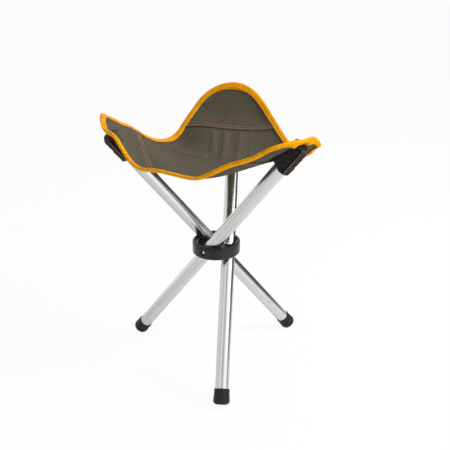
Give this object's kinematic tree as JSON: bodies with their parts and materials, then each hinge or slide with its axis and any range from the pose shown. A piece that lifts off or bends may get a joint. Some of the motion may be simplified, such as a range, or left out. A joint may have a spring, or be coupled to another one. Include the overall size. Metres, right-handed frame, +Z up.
{
  "type": "tripod stool",
  "caption": "Folding stool with crossing tube legs riveted in a round moulded hub, a three-cornered cloth sling seat with bound edge, and rubber feet.",
  "frame": {"origin": "on the floor, under the middle of the hub", "axes": "+Z up; +Y towards the rear corner of the seat, the way the rear leg leans; +X to the right"},
  "size_m": [0.3333, 0.3402, 0.4506],
  "materials": {
    "tube": "polished",
    "hub": "satin black",
    "rivet": "satin",
    "plug": "satin black",
    "foot": "matt black",
    "cloth": "plain weave, olive grey",
    "binding": "woven tape, orange",
    "pocket": "coated weave, black",
    "tape": "ribbed tape, dark brown"
  },
  "bodies": {
    "hub": {"pivot_hub": "hub", "seat_panel": "cloth", "edge_binding": "binding", "pivot_rivet_rear": "rivet", "rivet_washer_rear": "rivet", "pivot_rivet_left": "rivet", "rivet_washer_left": "rivet", "pivot_rivet_right": "rivet", "rivet_washer_right": "rivet"},
    "leg_rear": {"leg_tube_rear": "tube", "foot_rear": "foot", "tube_plug_rear": "plug", "corner_panel_rear": "cloth", "pocket_rear": "pocket", "pocket_tape_rear": "tape"},
    "leg_left": {"leg_tube_left": "tube", "foot_left": "foot", "tube_plug_left": "plug", "corner_panel_left": "cloth", "pocket_left": "pocket", "pocket_tape_left": "tape"},
    "leg_right": {"leg_tube_right": "tube", "foot_right": "foot", "tube_plug_right": "plug", "corner_panel_right": "cloth", "pocket_right": "pocket", "pocket_tape_right": "tape"}
  },
  "joints": [
    {"name": "fold_rear", "type": "hinge", "parent": "hub", "child": "leg_rear", "pos_m": [0.0203, 0, 0.20589], "axis": [1, 0, 0], "range_deg": [0, 38.6], "deforming": ["seat_panel", "edge_binding", "corner_panel_rear", "corner_panel_left", "corner_panel_right"]},
    {"name": "fold_left", "type": "hinge", "parent": "hub", "child": "leg_left", "pos_m": [-0.01015, 0.01758, 0.20589], "axis": [-0.5, 0.866, 0], "range_deg": [0, 38.6], "deforming": ["seat_panel", "edge_binding", "corner_panel_rear", "corner_panel_left", "corner_panel_right"]},
    {"name": "fold_right", "type": "hinge", "parent": "hub", "child": "leg_right", "pos_m": [-0.01015, -0.01758, 0.20589], "axis": [-0.5, -0.866, 0], "range_deg": [0, 38.6], "deforming": ["seat_panel", "edge_binding", "corner_panel_rear", "corner_panel_left", "corner_panel_right"]}
  ],
  "couplings": [
    {"joint": "fold_left", "follows": "fold_rear", "ratio": 1},
    {"joint": "fold_right", "follows": "fold_rear", "ratio": 1}
  ]
}
